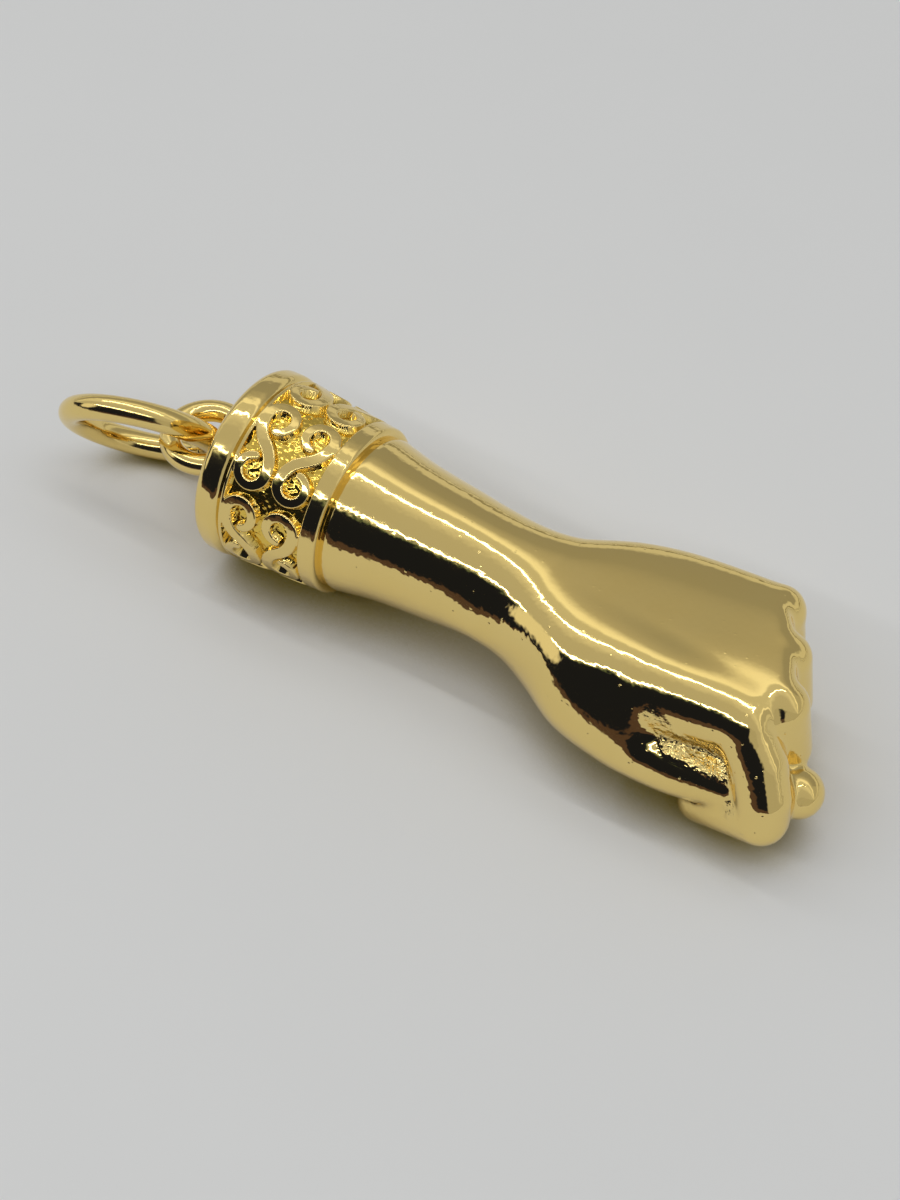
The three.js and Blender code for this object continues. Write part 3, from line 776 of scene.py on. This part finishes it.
def plate_group():
    """Soft clouds, ripple and small specks of a polished plated casting, with grain where it is recessed."""
    group = bpy.data.node_groups.new("plate_surface", "ShaderNodeTree")
    link = group.links.new
    for name in PLATE_INPUTS:
        group.interface.new_socket(name, in_out="INPUT", socket_type="NodeSocketFloat")
    for name in ("Tone", "Roughness", "Height"):
        group.interface.new_socket(name, in_out="OUTPUT", socket_type="NodeSocketFloat")
    into = node(group, "NodeGroupInput", (-1100, 0))
    out = node(group, "NodeGroupOutput", (700, 0))
    coords = node(group, "ShaderNodeTexCoord", (-1100, -400))

    def textured(kind, scale, place, **inputs):
        texture = node(group, kind, place, inputs=inputs)
        link(coords.outputs["Object"], texture.inputs["Vector"])
        link(into.outputs[scale], texture.inputs["Scale"])
        return texture

    def combined(operation, place, *values):
        """A row of nodes that adds or multiplies some values."""
        result = values[0]
        for i, value in enumerate(values[1:]):
            step = node(group, "ShaderNodeMath", (place[0] + 180 * i, place[1]), operation=operation)
            link(result, step.inputs[0])
            link(value, step.inputs[1])
            result = step.outputs[0]
        return result

    cloud = textured("ShaderNodeTexNoise", "Cloud Scale", (-800, 400), Detail=3.0)
    ripple = textured("ShaderNodeTexNoise", "Ripple Scale", (-800, 100), Detail=1.0)
    grain = textured("ShaderNodeTexNoise", "Grain Scale", (-800, -200), Detail=2.0)
    speck = textured("ShaderNodeTexVoronoi", "Speck Scale", (-800, -500))
    # A speck is a small dome in the middle of a few of the cells.
    dome = node(group, "ShaderNodeMapRange", (-500, -500), interpolation_type="SMOOTHSTEP",
                inputs={"From Min": SPECK_DOME[0], "From Max": SPECK_DOME[1]})
    link(speck.outputs["Distance"], dome.inputs["Value"])
    few = node(group, "ShaderNodeMath", (-500, -750), operation="GREATER_THAN", inputs={1: SPECK_CHOICE})
    link(speck.outputs["Color"], few.inputs[0])
    rough = node(group, "ShaderNodeMapRange", (-500, 400),
                 inputs={"From Min": CLOUD_RANGE[0], "From Max": CLOUD_RANGE[1]})
    link(cloud.outputs["Fac"], rough.inputs["Value"])
    link(into.outputs["Smooth"], rough.inputs["To Min"])
    link(into.outputs["Dull"], rough.inputs["To Max"])
    worn = node(group, "ShaderNodeMix", (-200, 400))
    link(into.outputs["Recess"], worn.inputs["Factor"])
    link(rough.outputs["Result"], worn.inputs["A"])
    link(into.outputs["Recess Dull"], worn.inputs["B"])
    given = into.outputs
    waves = combined("MULTIPLY", (-500, 100), ripple.outputs["Fac"], given["Ripple"], given["Cast"])
    sand = combined("MULTIPLY", (-500, -200), grain.outputs["Fac"], given["Grain"], given["Recess"])
    specks = combined("MULTIPLY", (-300, -500), dome.outputs["Result"], few.outputs[0], given["Specks"])
    dots = combined("MULTIPLY", (100, -500), specks, given["Cast"])
    height = combined("ADD", (250, -100), waves, sand, dots)
    link(cloud.outputs["Fac"], out.inputs["Tone"])
    link(worn.outputs["Result"], out.inputs["Roughness"])
    link(height, out.inputs["Height"])
    return group


def gold_material(name, group, shares=(), recess_shade=RECESS_SHADE_GOLD, **surface_values):
    """Polished gold plate that reads these shares off its mesh: duller where it is recessed, and painted a
    deeper, darker gold there as shade, rippled where it is left as cast. Heights are in millimetres."""
    material = bpy.data.materials.new(name)
    material.use_nodes = True
    tree = material.node_tree
    link = tree.links.new
    shader = tree.nodes["Principled BSDF"]
    shader.inputs["Metallic"].default_value = 1.0
    surface = node(tree, "ShaderNodeGroup", (-900, 0))
    surface.node_tree = group
    for key, value in surface_values.items():
        surface.inputs[key.replace("_", " ").title()].default_value = value
    tint = node(tree, "ShaderNodeMix", (-500, 250), data_type="RGBA")
    tint.inputs["A"].default_value = (*GOLD, 1)
    tint.inputs["B"].default_value = (*WARM_GOLD, 1)
    link(surface.outputs["Tone"], tint.inputs["Factor"])
    lift = node(tree, "ShaderNodeBump", (-300, -250), inputs={"Strength": 1.0, "Distance": MM})
    link(surface.outputs["Height"], lift.inputs["Height"])
    link(lift.outputs["Normal"], shader.inputs["Normal"])
    link(tint.outputs["Result"], shader.inputs["Base Color"])
    link(surface.outputs["Roughness"], shader.inputs["Roughness"])
    surface.inputs["Cast"].default_value = 1.0
    reads = {}
    for i, share in enumerate(shares):
        reads[share] = node(tree, "ShaderNodeAttribute", (-1200, 300 - 200 * i), attribute_name=share)
        link(reads[share].outputs["Fac"], surface.inputs[share.title()])
    # Painted shade: where the recess share is set, the colour turns to the darker recess gold.
    if "recess" in reads:
        recess_shade_mix = node(tree, "ShaderNodeMix", (-100, 300), data_type="RGBA")
        recess_shade_mix.inputs["B"].default_value = (*recess_shade, 1)
        link(reads["recess"].outputs["Fac"], recess_shade_mix.inputs["Factor"])
        link(tint.outputs["Result"], recess_shade_mix.inputs["A"])
        link(recess_shade_mix.outputs["Result"], shader.inputs["Base Color"])
    return material


# Light, floor and camera, in metres.

CAMERA_AZIMUTH = math.radians(32.4)
CAMERA_ELEVATION = math.radians(50.4)
PHOTO_SIZE = (900, 1200)
FOCAL_PIXELS = 2400
SEAT_PIXEL = (273.1, 469.0)  # where the cap's seat shows
SEAT_DEPTH = 0.1106  # from the lens to the seat, along the view
SENSOR_WIDTH = 36.0
NEAREST_SEEN = 0.01


def make_camera():
    data = bpy.data.cameras.new("camera")
    camera = bpy.data.objects.new("camera", data)
    bpy.context.scene.collection.objects.link(camera)
    camera.rotation_euler = (math.pi / 2 - CAMERA_ELEVATION, 0, CAMERA_AZIMUTH)
    right = (SEAT_PIXEL[0] - PHOTO_SIZE[0] / 2) / FOCAL_PIXELS * SEAT_DEPTH
    down = (SEAT_PIXEL[1] - PHOTO_SIZE[1] / 2) / FOCAL_PIXELS * SEAT_DEPTH
    camera.location = SEAT - camera.rotation_euler.to_matrix() @ Vector((right, -down, -SEAT_DEPTH))
    data.sensor_width = SENSOR_WIDTH
    data.lens = FOCAL_PIXELS * SENSOR_WIDTH / PHOTO_SIZE[1]
    data.clip_start = NEAREST_SEEN
    bpy.context.scene.camera = camera


FLOOR_COLOR = (0.825, 0.833, 0.836)
FLOOR_FLECK = 0.97  # tone of the sheet's faint flecks
BACKGROUND = (0.565, 0.57, 0.565)
CONTACT_SHADE_TINT = (0.32, 0.255, 0.03)  # shade of the sheet where the gold lies close over it
CONTACT_REACH = 0.003
CONTACT_SAMPLES = 8
CONTACT_OPEN = (0.28, 0.75)  # how open the sheet lies where the shade is full and where it ends
FLOOR_FRONT = 0.040  # edge of the sheet before the amulet, along the view
FLOOR_BACK = 1.2
FLOOR_SIDE = 1.0


def make_floor():
    bpy.ops.mesh.primitive_plane_add(size=1)
    floor = added("floor")
    floor.scale = (2 * FLOOR_SIDE, FLOOR_FRONT + FLOOR_BACK, 1)
    turn = Matrix.Rotation(CAMERA_AZIMUTH, 3, "Z")
    floor.location = Vector((SEAT.x, SEAT.y, 0)) + turn @ Vector((0, (FLOOR_BACK - FLOOR_FRONT) / 2, 0))
    floor.rotation_euler = (0, 0, CAMERA_AZIMUTH)
    settled(floor)
    material = bpy.data.materials.new("pale_sheet")
    material.use_nodes = True
    tree = material.node_tree
    link = tree.links.new
    shader = tree.nodes["Principled BSDF"]
    shader.inputs["Roughness"].default_value = 0.9
    shader.inputs["Specular IOR Level"].default_value = 0.1
    coords = node(tree, "ShaderNodeTexCoord", (-900, 0))
    fleck = node(tree, "ShaderNodeTexNoise", (-700, 0), inputs={"Scale": 60.0, "Detail": 4.0})
    tone = node(tree, "ShaderNodeMix", (-400, 0), data_type="RGBA")
    tone.inputs["A"].default_value = (*FLOOR_COLOR, 1)
    tone.inputs["B"].default_value = (*(FLOOR_FLECK * value for value in FLOOR_COLOR), 1)
    link(coords.outputs["Object"], fleck.inputs["Vector"])
    link(fleck.outputs["Fac"], tone.inputs["Factor"])
    # Painted contact shadow: ambient occlusion turns the sheet's colour a dark warm olive where the gold lies
    # close over it.
    near = node(tree, "ShaderNodeAmbientOcclusion", (-600, -300), samples=CONTACT_SAMPLES,
                inputs={"Distance": CONTACT_REACH})
    fade = node(tree, "ShaderNodeMapRange", (-400, -300),
                inputs={"From Min": CONTACT_OPEN[0], "From Max": CONTACT_OPEN[1]})
    contact_shade = node(tree, "ShaderNodeMix", (-150, 0), data_type="RGBA")
    contact_shade.inputs["A"].default_value = (*(a * b for a, b in zip(CONTACT_SHADE_TINT, FLOOR_COLOR)), 1)
    link(near.outputs["AO"], fade.inputs["Value"])
    link(fade.outputs["Result"], contact_shade.inputs["Factor"])
    link(tone.outputs["Result"], contact_shade.inputs["B"])
    link(contact_shade.outputs["Result"], shader.inputs["Base Color"])
    floor.data.materials.append(material)


# The light tent, by the angle from its open front over the top to its back, in degrees.
TENT = [
    (0, (0.085, 0.055, 0.056)),
    (1, (0.07, 0.045, 0.045)),
    (2, (0.011, 0.013, 0.026)),
    (41, (0.011, 0.013, 0.026)),
    (43, (0.10, 0.14, 0.10)),
    (46, (0.50, 0.50, 0.50)),
    (78, (0.52, 0.52, 0.52)),
    (94, (0.75, 0.75, 0.74)),
    (103, (0.60, 0.60, 0.58)),
    (111, (0.62, 0.62, 0.60)),
    (114, (1.05, 1.05, 1.02)),
    (118, (0.98, 0.97, 0.94)),
    (124, (0.48, 0.47, 0.45)),
    (136, (0.335, 0.335, 0.33)),
    (156, (0.32, 0.32, 0.32)),
    (160, (0.62, 0.62, 0.61)),
    (170, (0.63, 0.63, 0.62)),
    (172, (0.28, 0.27, 0.23)),
    (175, (0.28, 0.27, 0.23)),
    (177, (0.62, 0.62, 0.61)),
    (180, (0.60, 0.60, 0.60)),
]

# The bright end of the tent, as a soft spot: direction, how far it reaches and its core, in degrees.
END_GLOW = {"towards": (-0.79, -0.52, 0.31), "reach": (15, 9), "color": (0.8, 0.79, 0.75)}

# The pale wall of the tent beyond the fist, by how far a direction points along the arm.
SIDE_WALL = {"start": 0.64, "full": 0.71, "color": (0.45, 0.45, 0.44)}


def make_world():
    world = bpy.data.worlds.new("light_tent")
    bpy.context.scene.world = world
    world.use_nodes = True
    tree = world.node_tree
    link = tree.links.new
    background = tree.nodes["Background"]
    coords = node(tree, "ShaderNodeTexCoord", (-1300, 0))
    split = node(tree, "ShaderNodeSeparateXYZ", (-1100, 0))
    link(coords.outputs["Generated"], split.inputs[0])
    back = node(tree, "ShaderNodeMath", (-900, -100), operation="MULTIPLY", inputs={1: -1.0})
    link(split.outputs["Y"], back.inputs[0])
    angle = node(tree, "ShaderNodeMath", (-700, 0), operation="ARCTAN2")
    link(split.outputs["Z"], angle.inputs[0])
    link(back.outputs[0], angle.inputs[1])
    share = node(tree, "ShaderNodeMath", (-500, 0), operation="DIVIDE", inputs={1: math.pi}, use_clamp=True)
    link(angle.outputs[0], share.inputs[0])
    ramp = node(tree, "ShaderNodeValToRGB", (-300, 0))
    stops = ramp.color_ramp.elements
    for degrees, color in TENT[1:-1]:
        stops.new(degrees / 180).color = (*color, 1)
    stops[0].color = (*TENT[0][1], 1)
    stops[-1].color = (*TENT[-1][1], 1)
    link(share.outputs[0], ramp.inputs["Fac"])
    near = node(tree, "ShaderNodeVectorMath", (-900, -350), operation="DOT_PRODUCT")
    near.inputs[1].default_value = Vector(END_GLOW["towards"]).normalized()
    link(coords.outputs["Generated"], near.inputs[0])
    edge, core = (math.cos(math.radians(reach)) for reach in END_GLOW["reach"])
    fade = node(tree, "ShaderNodeMapRange", (-600, -350), interpolation_type="SMOOTHSTEP",
                inputs={"From Min": edge, "From Max": core})
    link(near.outputs["Value"], fade.inputs["Value"])
    glow = node(tree, "ShaderNodeMix", (-150, -150), data_type="RGBA")
    glow.inputs["B"].default_value = (*END_GLOW["color"], 1)
    link(fade.outputs["Result"], glow.inputs["Factor"])
    link(ramp.outputs["Color"], glow.inputs["A"])
    aside = node(tree, "ShaderNodeMapRange", (-600, -650), interpolation_type="SMOOTHSTEP",
                 inputs={"From Min": SIDE_WALL["start"], "From Max": SIDE_WALL["full"]})
    link(split.outputs["X"], aside.inputs["Value"])
    wall = node(tree, "ShaderNodeMix", (0, -250), data_type="RGBA", blend_type="LIGHTEN")
    wall.inputs["B"].default_value = (*SIDE_WALL["color"], 1)
    link(aside.outputs["Result"], wall.inputs["Factor"])
    link(glow.outputs["Result"], wall.inputs["A"])
    path = node(tree, "ShaderNodeLightPath", (-300, 300))
    mix = node(tree, "ShaderNodeMix", (0, 100), data_type="RGBA")
    mix.inputs["B"].default_value = (*BACKGROUND, 1)
    link(path.outputs["Is Camera Ray"], mix.inputs["Factor"])
    link(wall.outputs["Result"], mix.inputs["A"])
    link(mix.outputs["Result"], background.inputs["Color"])


# Light strips of the tent, which run along the arm: direction from the amulet, and width.
LAMP_DISTANCE = 0.30
STRIP_LENGTH = 0.50
STRIP_RADIANCE = 9.0
STRIPS = [
    ("strip_over", (-0.13, 0.126, 0.984), 0.010),
    ("strip_front", (-0.114, -0.653, 0.748), 0.012),
]


def make_strips():
    for name, direction, width in STRIPS:
        data = bpy.data.lights.new(name, "AREA")
        data.shape = "RECTANGLE"
        data.size = STRIP_LENGTH
        data.size_y = width
        data.energy = STRIP_RADIANCE * math.pi * data.size * data.size_y
        lamp = bpy.data.objects.new(name, data)
        bpy.context.scene.collection.objects.link(lamp)
        towards = Vector(direction).normalized()
        along = Vector((1, 0, 0))
        along = (along - towards * along.dot(towards)).normalized()
        turn = Matrix((along, towards.cross(along), towards)).transposed()
        lamp.rotation_euler = turn.to_euler()
        lamp.location = SEAT + towards * LAMP_DISTANCE
        lamp.visible_camera = False


# How fine the surface is on the turned and bent pieces, and on the cast hand.
PLATE = {"cloud_scale": 420.0, "ripple_scale": 2600.0, "speck_scale": 1400.0, "grain_scale": 6000.0}
CASTING = {"cloud_scale": 420.0, "ripple_scale": 3000.0, "speck_scale": 2200.0, "grain_scale": 3600.0}
plate = plate_group()
HAND_GOLD = gold_material(
    "hand_gold", plate, ("recess", "cast"), GOLD, smooth=0.04, dull=0.09, recess_dull=0.16,
    ripple=0.011, specks=0.014, grain=0.14, **CASTING,
)
CUFF_GOLD = gold_material(
    "cuff_gold", plate, ("recess",), smooth=0.05, dull=0.11, recess_dull=0.12,
    ripple=0.013, specks=0.004, grain=0.01, **PLATE,
)
CAP_GOLD = gold_material("cap_gold", plate, smooth=0.05, dull=0.12, ripple=0.012, specks=0.004, **PLATE)
BAIL_GOLD = gold_material("bail_gold", plate, smooth=0.07, dull=0.16, ripple=0.008, specks=0.003, **PLATE)
RING_GOLD = gold_material("ring_gold", plate, smooth=0.07, dull=0.16, ripple=0.008, specks=0.003, **PLATE)

make_camera()
make_hand(HAND_GOLD)
make_cuff(CUFF_GOLD)
make_end_cap(CAP_GOLD)
make_bail(BAIL_GOLD)
make_jump_ring(RING_GOLD)
make_floor()
make_world()
make_strips()
bpy.context.scene.view_settings.view_transform = "Standard"
